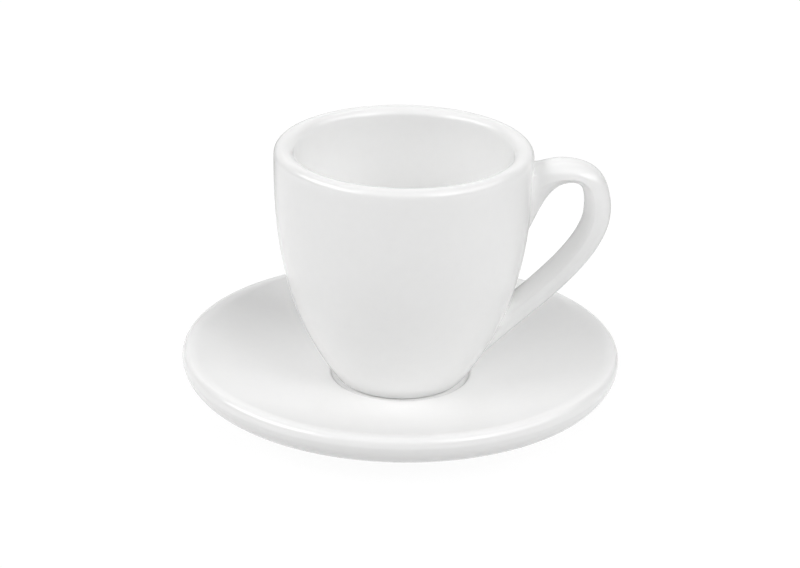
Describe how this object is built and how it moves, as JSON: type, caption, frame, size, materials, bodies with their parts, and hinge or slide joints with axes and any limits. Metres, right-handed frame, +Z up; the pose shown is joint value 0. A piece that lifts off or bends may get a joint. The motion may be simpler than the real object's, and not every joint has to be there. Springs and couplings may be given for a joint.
{
  "type": "espresso cup with saucer",
  "caption": "Thick-walled white porcelain espresso cup with a flared loop handle, standing in the well of a round dished saucer.",
  "frame": {"origin": "on the table under the middle of the saucer, at the centre of its standing ring", "axes": "+Z up along the turning axis of cup and saucer, +X towards the handle"},
  "size_m": [0.112, 0.112, 0.0699],
  "materials": {
    "glaze": "glossy white glaze, bare and matt on the two standing rings"
  },
  "bodies": {
    "saucer": {"saucer": "glaze"},
    "cup": {"cup_body": "glaze", "cup_handle": "glaze"}
  },
  "joints": [
    {"name": "cup_lift", "type": "slide", "parent": "saucer", "child": "cup", "axis": [0, 0, 1], "range_m": [0, 0.025]}
  ]
}
